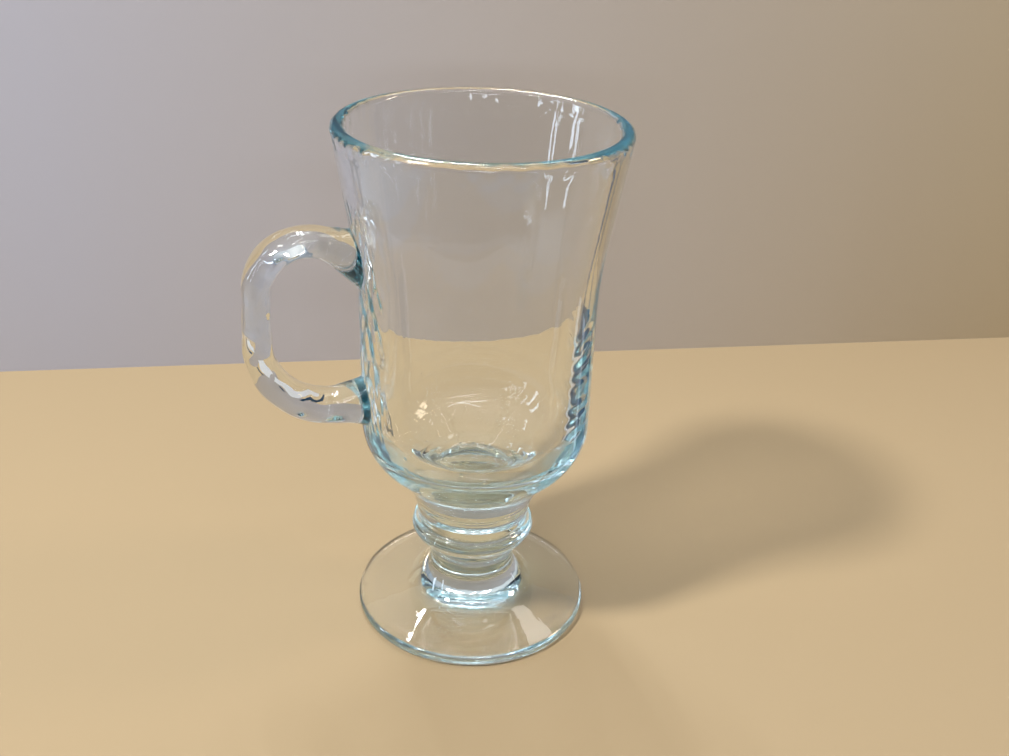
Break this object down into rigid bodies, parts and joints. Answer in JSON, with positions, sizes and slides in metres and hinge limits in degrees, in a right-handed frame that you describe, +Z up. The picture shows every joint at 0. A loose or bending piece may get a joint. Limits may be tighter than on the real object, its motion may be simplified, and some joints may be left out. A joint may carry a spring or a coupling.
{
  "type": "irish coffee glass mug",
  "caption": "Clear glass coffee mug on a foot: flared bowl with a fire-polished lip, knopped stem, round foot hollowed underneath, and a solid glass loop handle fused to the bowl's side.",
  "frame": {"origin": "on the mug's axis, in the plane that the foot rests on", "axes": "+Z up along the mug's axis, -X towards the middle of the handle"},
  "size_m": [0.1022, 0.077, 0.1485],
  "materials": {
    "clear_glass": "fire-polished soda-lime glass, clear with a faint blue-green edge"
  },
  "bodies": {
    "root": {"bowl": "clear_glass", "knop": "clear_glass", "stem": "clear_glass", "foot": "clear_glass", "handle": "clear_glass", "upper_handle_weld": "clear_glass", "lower_handle_weld": "clear_glass"}
  },
  "joints": []
}
